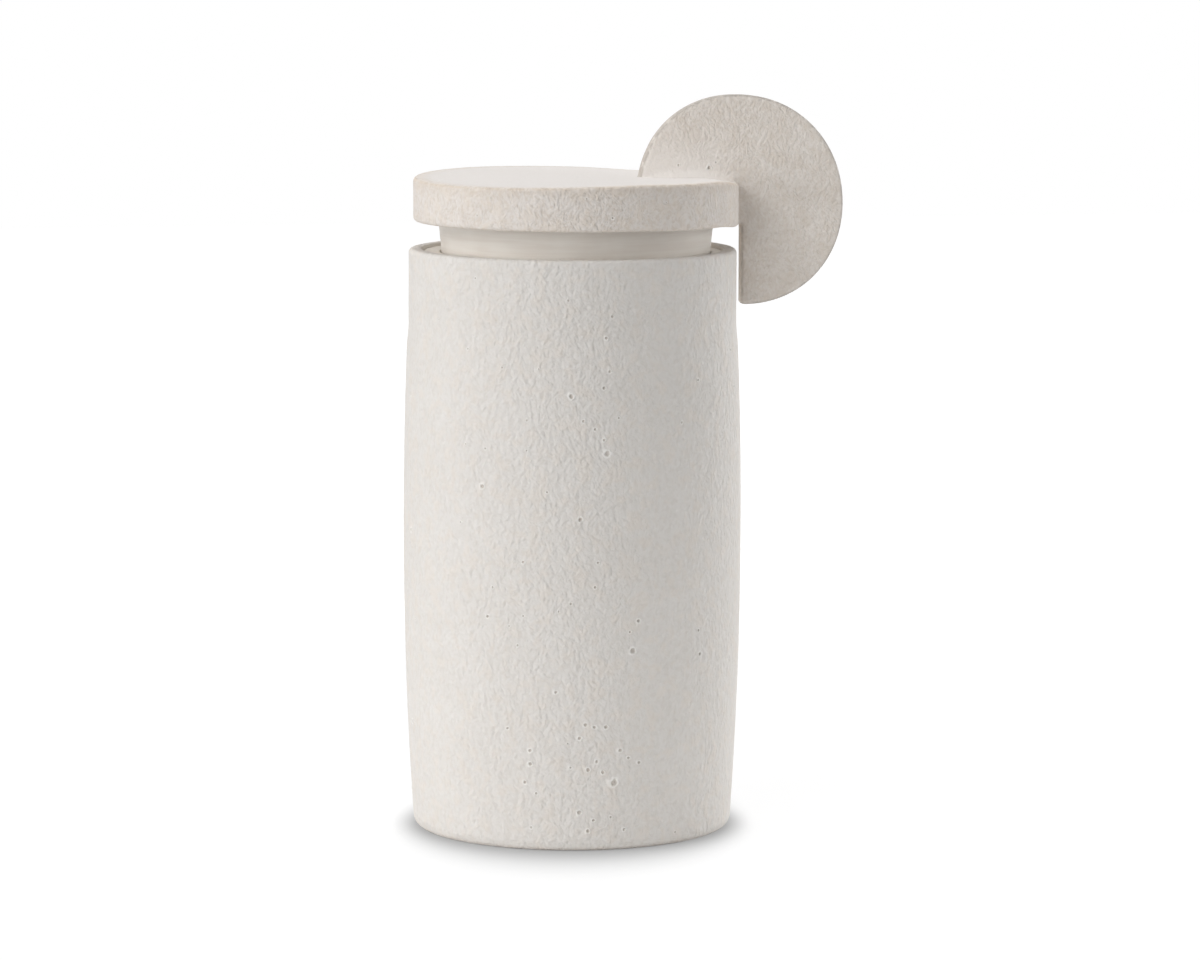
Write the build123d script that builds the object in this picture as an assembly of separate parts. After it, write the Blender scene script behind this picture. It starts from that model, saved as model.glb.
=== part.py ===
from build123d import *
import os
from math import sqrt

# A hand-made lidded jar in white glazed stoneware. The vessel is a tall, slightly swollen cylinder.
# Its lid is a thick round slab over a hollow tapered plug, with a thin upright disc as its handle.
# Millimetres. The origin is the centre of the flat base, +Z is up and the handle lies towards +X.

# Vessel
body_height = 218.3
belly_radius = 63.5
foot_inset = 3.8
shoulder_inset = 1.5
rim_inset = 2.1
belly_height_share = 0.52
neck_height = 27.5
shoulder_step = 8.0
neck_wall = 5.2
lip_outer_radius = 0.9
lip_inner_radius = 1.6
floor_thickness = 7.0
foot_edge_radius = 3.8
climb_shares = (0, 0.15, 0.35, 0.55, 0.75, 0.9, 1)

# Seat for the lid: a flat ring laid on a shelf inside the neck
seat_depth = 21.0
seat_thickness = 6.0
shelf_width = 1.8
slip_joint = 0.15

# Collar on the seat: it centres the plug and leaves a shallow groove inside the lip
collar_drop = 3.0
collar_clearance = 1.0
collar_edge_radius = 0.6

# Lid
lid_shift = 1.24
lid_gap = 10.7
slab_setback = 0.56
slab_thickness = 15.9
slab_edge_radius = 1.5
crown_thickness = 8.0
plug_gap = 4.7
plug_draw = 3.0
plug_wall = 5.5
plug_edge_radius = 1.2

# Handle disc
disc_radius = 39.2
disc_thickness = 5.7
disc_rise = 6.8
disc_edge_radius = 1.2
disc_corner_radius = 1.5
hang_clearance = 2.2
cut_offset = 0.6

# Levels and radii that the pieces share
foot_radius = belly_radius - foot_inset
shoulder_radius = belly_radius - shoulder_inset
rim_radius = belly_radius - rim_inset
wall = neck_wall + shelf_width
neck_radius = rim_radius - neck_wall
belly_level = belly_height_share * body_height
neck_start = body_height - neck_height
shoulder_level = neck_start - shoulder_step
seat_level = body_height - seat_depth
shelf_level = seat_level - seat_thickness
slab_level = body_height + lid_gap
slab_top = slab_level + slab_thickness
slab_radius = rim_radius - slab_setback
plug_height = slab_level - seat_level
plug_top_radius = neck_radius - plug_gap
plug_foot_radius = plug_top_radius - plug_draw
seat_bore_radius = plug_foot_radius - plug_wall
collar_height = seat_depth - collar_drop
collar_foot_radius = plug_foot_radius + collar_clearance
collar_top_radius = collar_foot_radius + plug_draw * collar_height / plug_height


def swell_radius(level):
    """Outer radius of the swell at a level. Its line runs on upwards inside the neck."""
    if level < belly_level:
        away_share = (belly_level - level) / belly_level
        return belly_radius - foot_inset * away_share ** 2
    away_share = (level - belly_level) / (shoulder_level - belly_level)
    return belly_radius - shoulder_inset * away_share ** 2


def shoulder_slope():
    """How fast the radius changes with height where the swell meets the shoulder."""
    return -2 * shoulder_inset / (shoulder_level - belly_level)


def swell_curve(inset, top_level):
    """Curve of the swell from the floor's top up to a level, moved inwards by inset."""
    climb = top_level - floor_thickness
    levels = [floor_thickness + share * climb for share in climb_shares]
    return Spline(*[(swell_radius(level) - inset, level) for level in levels])


def shoulder_curve():
    """Soft step from the swell in to the straight neck."""
    low = (shoulder_radius, shoulder_level)
    high = (rim_radius, neck_start)
    return Spline(low, high, tangents=[(shoulder_slope(), 1), (0, 1)])


def turned(outline):
    """Solid turned about the vessel's axis from a closed outline of (radius, height)."""
    return revolve(Plane.XZ * make_face(outline), Axis.Z)


def top_circles(solid):
    """Round edges of a solid's top face, the smallest first."""
    return solid.edges().filter_by(GeomType.CIRCLE).group_by(Axis.Z)[-1].sort_by(SortBy.RADIUS)


def vessel_wall():
    """Swollen wall with a thinner neck, an eased lip and a shelf for the seat ring."""
    foot = swell_radius(floor_thickness)
    shelf = swell_radius(shelf_level) - wall
    outline = swell_curve(0, shoulder_level) + shoulder_curve()
    outline += Line((rim_radius, neck_start), (rim_radius, body_height))
    outline += Line((rim_radius, body_height), (neck_radius, body_height))
    outline += Line((neck_radius, body_height), (neck_radius, shelf_level))
    outline += Line((neck_radius, shelf_level), (shelf, shelf_level))
    outline += swell_curve(wall, shelf_level)
    outline += Line((foot - wall, floor_thickness), (foot, floor_thickness))
    vessel = turned(outline)
    vessel = fillet(top_circles(vessel)[-1], lip_outer_radius)
    return fillet(top_circles(vessel)[0], lip_inner_radius)


def vessel_floor():
    """Flat disc of clay that the wall stands on, with a rounded foot edge."""
    edge_radius = swell_radius(floor_thickness)
    outline = Polyline((0, 0), (foot_radius, 0), (edge_radius, floor_thickness), (0, floor_thickness), (0, 0))
    disc = turned(outline)
    foot_edge = disc.edges().filter_by(GeomType.CIRCLE).sort_by(Axis.Z)[0]
    return fillet(foot_edge, foot_edge_radius)


def seat_ring():
    """Flat ring on the shelf inside the neck, which the foot of the plug rests on."""
    ring = Cylinder(neck_radius - slip_joint, seat_thickness) - Cylinder(seat_bore_radius, seat_thickness)
    return Pos(0, 0, shelf_level + seat_thickness / 2) * ring


def neck_collar():
    """Ring on the seat, with a tapered bore that follows the plug and is as far off centre as the lid."""
    bore = Pos(lid_shift, 0, 0) * Cone(collar_foot_radius, collar_top_radius, collar_height)
    ring = Cylinder(neck_radius - slip_joint, collar_height) - bore
    ring = fillet(top_circles(ring), collar_edge_radius)
    return Pos(0, 0, seat_level + collar_height / 2) * ring


def lid_slab():
    """Thick round slab with soft edges, hollowed from below inside the plug."""
    slab = Cylinder(slab_radius, slab_thickness)
    slab = fillet(slab.edges().filter_by(GeomType.CIRCLE), slab_edge_radius)
    hollow_depth = slab_thickness - crown_thickness
    hollow = Pos(0, 0, -crown_thickness / 2) * Cylinder(plug_top_radius - plug_wall, hollow_depth)
    return Pos(lid_shift, 0, slab_level + slab_thickness / 2) * (slab - hollow)


def lid_plug():
    """Hollow plug under the slab, drawn in towards its foot."""
    outside = Cone(plug_foot_radius, plug_top_radius, plug_height)
    inside = Cone(plug_foot_radius - plug_wall, plug_top_radius - plug_wall, plug_height)
    plug = outside - inside
    foot_edges = plug.edges().filter_by(GeomType.CIRCLE).group_by(Axis.Z)[0]
    plug = fillet(foot_edges, plug_edge_radius)
    return Pos(lid_shift, 0, seat_level + plug_height / 2) * plug


def handle_disc():
    """Upright disc at the slab's edge, cut away inside and below, so that it hangs outside the neck."""
    cut_x = rim_radius + hang_clearance
    disc_x = cut_x + cut_offset
    disc_level = slab_level + disc_rise
    slab_edge = lid_shift + slab_radius
    low_point = (cut_x, disc_level - sqrt(disc_radius ** 2 - cut_offset ** 2))
    top_reach = sqrt(disc_radius ** 2 - (slab_top - disc_level) ** 2)
    heel_point = (disc_x - top_reach, slab_top)
    diagonal = disc_radius / sqrt(2)
    rim = ThreePointArc(low_point, (disc_x + diagonal, disc_level + diagonal), heel_point)
    cut = Polyline(heel_point, (slab_edge, slab_top), (slab_edge, slab_level), (cut_x, slab_level), low_point)
    face = make_face(rim + cut)
    face = fillet(face.vertices().sort_by(Axis.Y)[0], disc_corner_radius)
    disc = extrude(Plane.XZ * face, amount=disc_thickness / 2, both=True)
    return round_free_edges(disc, slab_edge)


def round_free_edges(disc, slab_edge):
    """Round the disc's long edges, but for those that lie on the slab."""
    free_edges = []
    for edge in disc.edges():
        middle = edge @ 0.5
        crosses = abs(edge.tangent_at(0.5).Y) > 0.5
        on_slab = middle.X <= slab_edge + slip_joint and middle.Z <= slab_top + slip_joint
        under_slab = abs(middle.Z - slab_level) < slip_joint
        if not (crosses or on_slab or under_slab):
            free_edges.append(edge)
    return fillet(free_edges, disc_edge_radius)


os.makedirs("parts", exist_ok=True)
pieces = {
    "vessel_wall": vessel_wall(),
    "vessel_floor": vessel_floor(),
    "seat_ring": seat_ring(),
    "neck_collar": neck_collar(),
    "lid_slab": lid_slab(),
    "lid_plug": lid_plug(),
    "handle_disc": handle_disc(),
}
for name, solid in pieces.items():
    export_step(solid, f"parts/{name}.step")
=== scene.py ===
import math
import random

import bmesh
import bpy
from mathutils import Matrix, Vector
from mathutils.kdtree import KDTree


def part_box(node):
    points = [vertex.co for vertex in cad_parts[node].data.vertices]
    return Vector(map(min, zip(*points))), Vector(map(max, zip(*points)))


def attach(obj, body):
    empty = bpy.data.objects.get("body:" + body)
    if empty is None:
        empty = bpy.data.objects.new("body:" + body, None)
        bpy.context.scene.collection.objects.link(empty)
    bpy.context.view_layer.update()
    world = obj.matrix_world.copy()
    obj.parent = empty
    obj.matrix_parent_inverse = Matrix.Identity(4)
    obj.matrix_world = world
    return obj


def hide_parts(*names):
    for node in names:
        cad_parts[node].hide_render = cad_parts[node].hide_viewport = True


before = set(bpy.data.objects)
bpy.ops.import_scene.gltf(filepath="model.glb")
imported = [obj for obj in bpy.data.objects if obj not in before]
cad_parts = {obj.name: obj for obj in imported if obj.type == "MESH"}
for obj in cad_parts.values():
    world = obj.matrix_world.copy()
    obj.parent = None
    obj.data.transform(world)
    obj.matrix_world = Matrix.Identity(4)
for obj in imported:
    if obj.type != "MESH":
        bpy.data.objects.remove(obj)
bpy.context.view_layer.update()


# The vessel's wall. A tall cylinder of stoneware, thrown thick and swollen a little at the middle.
# A soft step below the mouth leaves a thinner, straight neck, and its lip is eased by hand.
# It is dipped in a matte white glaze, which stipples like orange peel and leaves pinholes.

MM = 0.001
wall_low, wall_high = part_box("vessel_wall")
rim_level = wall_high.z
belly_radius = wall_high.x
floor_top = wall_low.z
shelf_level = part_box("seat_ring")[0].z
foot_radius = belly_radius - 3.8 * MM
shoulder_radius = belly_radius - 1.5 * MM
rim_radius = belly_radius - 2.1 * MM
belly_level = 0.52 * rim_level
neck_start = rim_level - 27.5 * MM
shoulder_level = neck_start - 8 * MM
neck_wall = 5.2 * MM
lower_wall = 7 * MM
lip_outer = 1.5 * MM
lip_inner = 0.8 * MM

# The front of the jar, in degrees round its axis
front_turn = -102

# Fineness of the turned meshes: faces round the axis, and rows along an outline
turns_around = 300
row_height = 1.3 * MM
inner_row_height = 6 * MM
neck_row_height = 2 * MM
seam_gap = 0.004 * MM
crease_angle = math.radians(50)


def swell_radius(level):
    """Outer radius of the swollen wall at a level."""
    if level < belly_level:
        return belly_radius - (belly_radius - foot_radius) * ((belly_level - level) / belly_level) ** 2
    away = (level - belly_level) / (shoulder_level - belly_level)
    return belly_radius - (belly_radius - shoulder_radius) * away ** 2


def fade(value, start, end):
    """Soft step from 0 at the start to 1 at the end."""
    share = min(max((value - start) / (end - start), 0), 1)
    return share * share * (3 - 2 * share)


def outer_radius(level):
    """Outer radius of the vessel, with the soft step in to the neck."""
    step = fade(level, shoulder_level, neck_start)
    return swell_radius(min(level, neck_start)) * (1 - step) + rim_radius * step


def run(start, end, spacing):
    """Points along a straight run of an outline, without its last one."""
    count = max(1, round((Vector(end) - Vector(start)).length / spacing))
    return [Vector(start).lerp(Vector(end), step / count) for step in range(count)]


def bend(centre, radius, start, end, count):
    """Points round an arc of an outline, from one angle in degrees to another, without its last one."""
    angles = [math.radians(start + (end - start) * step / count) for step in range(count)]
    return [Vector(centre) + radius * Vector((math.cos(angle), math.sin(angle))) for angle in angles]


def rise(radius_at, start, end, spacing):
    """Points of an outline that follow a radius from level to level, without its last one."""
    return [Vector((radius_at(point.y), point.y)) for point in run((0, start), (0, end), spacing)]


def put(tree, kind, sockets=None, **settings):
    """Places a node in a tree, sets it, and joins or fills its sockets."""
    node = tree.nodes.new(kind)
    for name, value in settings.items():
        setattr(node, name, value)
    for name, value in (sockets or {}).items():
        if isinstance(value, bpy.types.NodeSocket):
            tree.links.new(value, node.inputs[name])
        else:
            node.inputs[name].default_value = value
    return node


def join(kind, sockets, **settings):
    """Places a node in the tree that its sockets come from."""
    tree = next(value.id_data for value in sockets.values() if isinstance(value, bpy.types.NodeSocket))
    return put(tree, kind, sockets, **settings)


def reckon(operation, *terms):
    """Result of a math node on one or two terms, or of a row of such nodes on more."""
    result = join("ShaderNodeMath", dict(enumerate(terms[:2])), operation=operation).outputs[0]
    for term in terms[2:]:
        result = join("ShaderNodeMath", {0: result, 1: term}, operation=operation).outputs[0]
    return result


def plus(*terms):
    """Sum of terms, which are numbers or sockets."""
    return reckon("ADD", *terms)


def minus(first, second):
    """One term less another."""
    return reckon("SUBTRACT", first, second)


def times(*terms):
    """Product of terms."""
    return reckon("MULTIPLY", *terms)


def steer(operation, *terms):
    """Result of a vector math node: a vector, or a value for a length or a distance."""
    slots = [3 if operation == "SCALE" and place == 1 else place for place in range(len(terms))]
    node = join("ShaderNodeVectorMath", dict(zip(slots, terms)), operation=operation)
    return node.outputs["Value" if operation in ("LENGTH", "DISTANCE") else "Vector"]


def soft_step(value, start, end, low=0.0, high=1.0):
    """Value of a smooth step from low, at the start, to high, at the end."""
    sockets = {"Value": value, "From Min": start, "From Max": end, "To Min": low, "To Max": high}
    return join("ShaderNodeMapRange", sockets, interpolation_type="SMOOTHSTEP").outputs[0]


def soft_fall(value, start, end):
    """Value of a smooth step down from 1, at the start, to 0, at the end."""
    return soft_step(value, start, end, 1.0, 0.0)


def grain(vector, size, detail=2.0):
    """Noise of about a size."""
    sockets = {"Vector": vector, "Scale": 1 / size, "Detail": detail}
    return join("ShaderNodeTexNoise", sockets).outputs["Fac"]


def swing(vector, size, detail):
    """Vector that swings to all sides of nothing, in noise of about a size."""
    noise = join("ShaderNodeTexNoise", {"Vector": vector, "Scale": 1 / size, "Detail": detail})
    return steer("SUBTRACT", noise.outputs["Color"], (0.5, 0.5, 0.5))


def read_mark(tree, mark, kind="FLOAT"):
    """Value of a named attribute in a geometry tree."""
    return put(tree, "GeometryNodeInputNamedAttribute", {"Name": mark}, data_type=kind).outputs[0]


def leave_mark(mesh, mark, value):
    """Mesh with a value stored on its points under a name."""
    sockets = {"Geometry": mesh, "Name": mark, "Value": value}
    return join("GeometryNodeStoreNamedAttribute", sockets, data_type="FLOAT", domain="POINT").outputs[0]


def look_up(mesh, value, index, kind="FLOAT"):
    """Value at one point of another mesh."""
    sockets = {"Geometry": mesh, "Value": value, "Index": index}
    return join("GeometryNodeSampleIndex", sockets, data_type=kind).outputs[0]


def start_tree(name, **sizes):
    """New geometry tree with a mesh going in, named sizes beside it, and a mesh coming out."""
    tree = bpy.data.node_groups.new(name, "GeometryNodeTree")
    tree.interface.new_socket("clay", in_out="INPUT", socket_type="NodeSocketGeometry")
    for size, kind in sizes.items():
        tree.interface.new_socket(size, in_out="INPUT", socket_type="NodeSocket" + kind)
    tree.interface.new_socket("clay", in_out="OUTPUT", socket_type="NodeSocketGeometry")
    return tree, put(tree, "NodeGroupInput").outputs


def end_tree(tree, mesh, finish):
    """Ends a tree with real faces in their material, smooth but for the true corners."""
    corner = put(tree, "GeometryNodeInputMeshEdgeAngle").outputs["Unsigned Angle"]
    corner = reckon("GREATER_THAN", corner, crease_angle)
    mesh = put(tree, "GeometryNodeSetShadeSmooth", {"Geometry": mesh, "Shade Smooth": True}).outputs[0]
    sockets = {"Geometry": mesh, "Selection": corner, "Shade Smooth": False}
    mesh = put(tree, "GeometryNodeSetShadeSmooth", sockets, domain="EDGE").outputs[0]
    mesh = put(tree, "GeometryNodeRealizeInstances", {"Geometry": mesh}).outputs[0]
    mesh = put(tree, "GeometryNodeSetMaterial", {"Geometry": mesh, "Material": finish}).outputs[0]
    put(tree, "NodeGroupOutput", {"clay": mesh})
    return tree


# What a turned piece says of its glaze at each point: that it is thin, wiped off or whiter
turned_marks = ("thin", "bare", "whiter")


def turning_tree():
    """Tree that turns an outline, a chain of points in the XZ plane, about an upright axis."""
    tree, given = start_tree("turning", turns="Int", off_centre="Float", finish="Material")
    rows = put(tree, "GeometryNodeAttributeDomainSize", {0: given["clay"]}).outputs["Point Count"]
    columns = plus(given["turns"], 1)
    mesh = put(tree, "GeometryNodeMeshGrid", {"Vertices X": columns, "Vertices Y": rows}).outputs["Mesh"]
    index = put(tree, "GeometryNodeInputIndex").outputs[0]
    row = reckon("FLOORED_MODULO", index, rows)
    column = reckon("FLOOR", reckon("DIVIDE", plus(index, 0.5), rows))
    angle = times(reckon("DIVIDE", column, given["turns"]), math.tau)
    place = put(tree, "GeometryNodeInputPosition").outputs[0]
    point = look_up(given["clay"], place, row, "FLOAT_VECTOR")
    point = put(tree, "ShaderNodeSeparateXYZ", {0: point}).outputs
    across = plus(times(point[0], reckon("COSINE", angle)), given["off_centre"])
    deep = times(point[0], reckon("SINE", angle))
    turned = put(tree, "ShaderNodeCombineXYZ", {0: across, 1: deep, 2: point[2]}).outputs[0]
    mesh = put(tree, "GeometryNodeSetPosition", {"Geometry": mesh, "Position": turned}).outputs[0]
    for mark in turned_marks:
        value = look_up(given["clay"], read_mark(tree, mark), row)
        mesh = leave_mark(mesh, mark, value)
    mesh = put(tree, "GeometryNodeMergeByDistance", {"Geometry": mesh, "Distance": seam_gap}).outputs[0]
    return end_tree(tree, mesh, given["finish"])


# The hand-made surface has long waves and short ripples, which come in just above the foot
wave_size = 70 * MM
ripple_size = 9 * MM
still_level = 0.2 * MM
wavy_level = 5 * MM

# A pinhole is a bowl with a raised lip, and a wide one has a blister. Heights are shares of its radius
small_mouth = 0.5 * MM
wide_mouth = 1.0 * MM
small_depth = -0.65
wide_depth = -0.38
blister_mouth = 0.95 * MM
full_blister_mouth = 1.15 * MM
blister_height = 0.3
# The painted shade inside a pinhole is full up to this mouth, and falls to this share for a wide one
shade_paling_mouth = 0.7 * MM
shade_paled = 0.7
pit_lip_height = 0.28
wobble_size = 1.5 * MM
wobble_range = (0.2, 0.8)
wobble_share = (0.8, 1.2)

# From where to where each part of a pinhole comes in or fades out, in radii of its mouth; the last is the
# painted shade inside it
bowl_end = (0.35, 1.05)
blister_end = (0.0, 0.5)
pit_lip_start = (0.8, 1.15)
pit_lip_end = (1.35, 2.1)
pit_shade_end = (0.55, 1.05)


def hand_shift(place, wave, ripple):
    """How far each point lies off the true shape in a piece made by hand."""
    waves = steer("SCALE", swing(place, wave_size, 1.0), wave)
    ripples = steer("SCALE", swing(place, ripple_size, 2.0), ripple)
    level = join("ShaderNodeSeparateXYZ", {0: place}).outputs[2]
    shift = steer("ADD", waves, ripples)
    return steer("SCALE", shift, soft_step(level, still_level, wavy_level))


def nearest_pit(tree, pits, place):
    """Centre, radius and outward direction of the pinhole nearest to each point."""
    points = put(tree, "GeometryNodeObjectInfo", {"Object": pits}).outputs["Geometry"]
    near = put(tree, "GeometryNodeSampleNearest", {"Geometry": points}, domain="POINT").outputs[0]
    centre = look_up(points, place, near, "FLOAT_VECTOR")
    mouth = look_up(points, read_mark(tree, "mouth"), near)
    way = look_up(points, read_mark(tree, "way", "FLOAT_VECTOR"), near, "FLOAT_VECTOR")
    return centre, mouth, way


def pit_shape(away, mouth):
    """Height of a pinhole's surface and strength of its lip, at a distance in radii of its mouth."""
    depth = soft_step(mouth, small_mouth, wide_mouth, small_depth, wide_depth)
    bowl = times(depth, soft_fall(away, *bowl_end))
    blister = soft_step(mouth, blister_mouth, full_blister_mouth, 0.0, blister_height)
    blister = times(blister, soft_fall(away, *blister_end))
    lip = times(soft_step(away, *pit_lip_start), soft_fall(away, *pit_lip_end))
    return plus(bowl, blister, times(lip, pit_lip_height)), lip


def pit_painted_shade(away, mouth):
    """Painted shade inside a pinhole, which is less for a wide one."""
    inside = soft_fall(away, *pit_shade_end)
    return times(inside, soft_step(mouth, shade_paling_mouth, wide_mouth, 1.0, shade_paled))


def skin_tree():
    """Tree that gives a piece its hand-made surface and presses the pinholes into it."""
    tree, given = start_tree("glaze skin", pits="Object", wave="Float", ripple="Float", finish="Material")
    place = put(tree, "GeometryNodeInputPosition").outputs[0]
    centre, mouth, way = nearest_pit(tree, given["pits"], place)
    wobble = soft_step(grain(place, wobble_size, 0.0), *wobble_range, *wobble_share)
    away = times(reckon("DIVIDE", steer("DISTANCE", place, centre), mouth), wobble)
    height, lip = pit_shape(away, mouth)
    press = steer("SCALE", way, times(height, mouth))
    shift = steer("ADD", hand_shift(place, given["wave"], given["ripple"]), press)
    # The pit mark is painted shade inside each pinhole
    mesh = leave_mark(given["clay"], "pit", pit_painted_shade(away, mouth))
    # The lip mark is each pinhole's raised lip, which the glaze colour tints as a painted highlight
    mesh = leave_mark(mesh, "lip", lip)
    mesh = put(tree, "GeometryNodeSetPosition", {"Geometry": mesh, "Offset": shift}).outputs[0]
    return end_tree(tree, mesh, given["finish"])


def work(piece, tree, **sizes):
    """Runs a tree on a piece with named sizes and leaves a plain mesh."""
    modifier = piece.modifiers.new(tree.name, "NODES")
    modifier.node_group = tree
    for socket in tree.interface.items_tree:
        if socket.in_out == "INPUT" and socket.name in sizes:
            modifier[socket.identifier] = sizes[socket.name]
    worked = piece.evaluated_get(bpy.context.evaluated_depsgraph_get())
    piece.data = bpy.data.meshes.new_from_object(worked)
    piece.data.name = piece.name
    piece.modifiers.clear()


def lay_out(name, points, edges, marks):
    """New piece made of points and edges, with named values on the points."""
    mesh = bpy.data.meshes.new(name)
    mesh.from_pydata(points, edges, [])
    for mark, values in marks.items():
        vectors = isinstance(values[0], Vector)
        layer = mesh.attributes.new(mark, "FLOAT_VECTOR" if vectors else "FLOAT", "POINT")
        if vectors:
            layer.data.foreach_set("vector", [part for value in values for part in value])
        else:
            layer.data.foreach_set("value", values)
    piece = bpy.data.objects.new(name, mesh)
    bpy.context.collection.objects.link(piece)
    return piece


def nowhere(radius, level):
    """Rule for a mark that a piece doesn't have."""
    return 0


def turn_piece(name, outline, finish, off_centre=0.0, **rules):
    """Piece turned from an outline. Its rules give the strength of each mark at a radius and a level."""
    marks = {}
    for mark in turned_marks:
        rule = rules.get(mark, nowhere)
        marks[mark] = [float(rule(*point)) for point in outline]
    edges = [(place, place + 1) for place in range(len(outline) - 1)]
    piece = lay_out(name, [(x, 0, z) for x, z in outline], edges, marks)
    work(piece, turning, turns=turns_around, off_centre=off_centre, finish=finish)
    return piece


# How far out from a pit the faces are cut, in radii of its mouth and a margin, and how often
pit_cuts = ((2.4, 0.8 * MM, 3), (1.9, 0, 1))


def divide_faces(piece, pits):
    """Cuts the faces round each pit small enough to hold its bowl and its lip."""
    centres = KDTree(len(pits))
    for place, pit in enumerate(pits):
        centres.insert(pit[0], place)
    centres.balance()
    shape = bmesh.new()
    shape.from_mesh(piece.data)
    for radii, margin, cuts in pit_cuts:
        edges = set()
        for face in shape.faces:
            centre, place, away = centres.find(face.calc_center_median())
            if away < radii * pits[place][2] + margin:
                edges.update(face.edges)
        bmesh.ops.subdivide_edges(shape, edges=list(edges), cuts=cuts, use_grid_fill=True)
    shape.to_mesh(piece.data)
    shape.free()


def glaze_piece(piece, pits, wave, ripple, finish):
    """Gives a piece its hand-made surface with its pinholes, and faces that point outwards."""
    divide_faces(piece, pits)
    centres, ways, mouths = zip(*pits)
    points = lay_out(piece.name + "_pits", centres, [], {"way": ways, "mouth": mouths})
    work(piece, skin, pits=points, wave=wave, ripple=ripple, finish=finish)
    bpy.data.objects.remove(points)
    shape = bmesh.new()
    shape.from_mesh(piece.data)
    if shape.calc_volume(signed=True) < 0:
        bmesh.ops.reverse_faces(shape, faces=shape.faces)
        shape.to_mesh(piece.data)
    shape.free()


def round_pit(turn, width, radius, level, off_centre=0.0):
    """Pit in an upright round side, at degrees to the right of the front."""
    angle = math.radians(front_turn + turn)
    way = Vector((math.cos(angle), math.sin(angle), 0))
    return way * radius + Vector((off_centre, 0, level)), way, width * MM / 2


def wall_pit(turn, level, width):
    """Pit in the wall, at degrees to the right of the front and millimetres above the foot."""
    return round_pit(turn, width, outer_radius(level * MM), level * MM)


def scattered(pits, count, draw, clearance):
    """The given pits and more, each drawn at random, and none nearer than the clearance to another."""
    pits = list(pits)
    for _ in range(count):
        pit = draw()
        if all((pit[0] - other[0]).length > clearance for other in pits):
            pits.append(pit)
    return pits


def start_group(name, **takes):
    """New shader group for a finish, with named values of these kinds going in."""
    group = bpy.data.node_groups.new(name, "ShaderNodeTree")
    for socket, kind in takes.items():
        group.interface.new_socket(socket, in_out="INPUT", socket_type="NodeSocket" + kind)
    for socket, kind in (("colour", "Color"), ("roughness", "Float"), ("relief", "Float")):
        group.interface.new_socket(socket, in_out="OUTPUT", socket_type="NodeSocket" + kind)
    return group, put(group, "NodeGroupInput").outputs


def blend(share, first, second):
    """Value between two."""
    return join("ShaderNodeMix", {0: share, 2: first, 3: second}).outputs[0]


def tint(share, first, second):
    """Colour between two."""
    return join("ShaderNodeMix", {0: share, 6: first, 7: second}, data_type="RGBA").outputs[2]


def patches(vector, size, detail, start, end, low=0.0, high=1.0):
    """Patches of about a size: low in the valleys of a noise and high on its peaks."""
    return soft_step(grain(vector, size, detail), start, end, low, high)


def worms(vector, size, width):
    """Thin winding lines, 1 on a line and 0 between them."""
    away = reckon("ABSOLUTE", minus(grain(vector, size, 1.0), 0.5))
    return soft_fall(away, 0.0, width)


# Patches in the glaze: size, detail, from where to where in their noise, and least and most strength
warm_clouds = (26 * MM, 2.0, 0.35, 0.65)
warm_blotches = (6 * MM, 2.0, 0.4, 0.62)
warm_flecks = (1.5 * MM, 1.0, 0.48, 0.64)
blush_patches = (5 * MM, 2.0, 0.46, 0.68, 0.0, 0.42)
worn_patches = (3 * MM, 3.0, 0.3, 0.6, 0.35, 1.0)

# The glaze's lines and relief, from its widest swirls to its finest orange peel
swirl_size = 14 * MM
lump_size = 5 * MM
ground_size = 3.4 * MM
ground_line = 0.09
dab_size = 1.9 * MM
dab_stretch = (1.0, 1.0, 0.75)
dab_range = (0.3, 0.7)
dab_roughness = (0.76, 0.64)
peel_size = 1.2 * MM
lump_depth = 0.4 * MM
dab_depth = 0.62 * MM
peel_depth = 0.25 * MM
smooth_depth = 0.3

# How much clouds, blotches, ground and flecks warm the glaze, and what is tinted by how much
warm_shares = (0.15, 0.15, 0.2, 0.45)
blush_tint = (0.82, 0.73, 0.638, 1)
# Painted highlight on the pinholes' raised lips: its colour and how much of it
pit_lip_highlight = (0.95, 0.93, 0.9, 1)
pit_lip_highlight_share = 0.6
# Painted shade inside the pinholes: its colour and how much of it
pit_shade_tint = (0.45, 0.39, 0.34, 1)
pit_shade_share = 0.5


def glaze_warmth(vector, swirl):
    """How much the glaze warms: by clouds and blotches, on the ground between the lines, and in flecks."""
    clouds = patches(vector, *warm_clouds)
    blotches = patches(swirl, *warm_blotches)
    ground = minus(1.0, worms(swirl, ground_size, ground_line))
    flecks = patches(swirl, *warm_flecks)
    return plus(*map(times, (clouds, blotches, ground, flecks), warm_shares))


def glaze_colour(given, swirl):
    """Colour of the glaze with its blush, its whiter places, which on the disc are painted bounce light, its
    worn edges, a painted highlight on its pinholes' lips and painted shade inside them.
    """
    mottle = times(given["mottle"], minus(1.0, given["whiter"]))
    warmth = glaze_warmth(given["vector"], swirl)
    blush = patches(given["vector"], *blush_patches)
    worn = patches(given["vector"], *worn_patches)
    colour = tint(times(warmth, mottle), given["white"], given["warm"])
    colour = tint(times(blush, mottle), colour, blush_tint)
    colour = tint(given["whiter"], colour, given["smooth"])
    colour = tint(times(given["thin"], worn), colour, given["brown"])
    colour = tint(times(given["lip"], pit_lip_highlight_share), colour, pit_lip_highlight)
    return tint(times(given["pit"], pit_shade_share), colour, pit_shade_tint)


def glaze_relief(given, place, dabs):
    """Height of the glaze: orange peel, lumps and dabs, and less of them where it lies smooth."""
    peel = times(grain(place, peel_size, 1.0), peel_depth)
    lumps = times(grain(given["vector"], lump_size, 1.0), lump_depth)
    relief = plus(peel, lumps, times(dabs, dab_depth))
    return times(relief, soft_step(given["whiter"], 0.0, 1.0, 1.0, smooth_depth))


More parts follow.
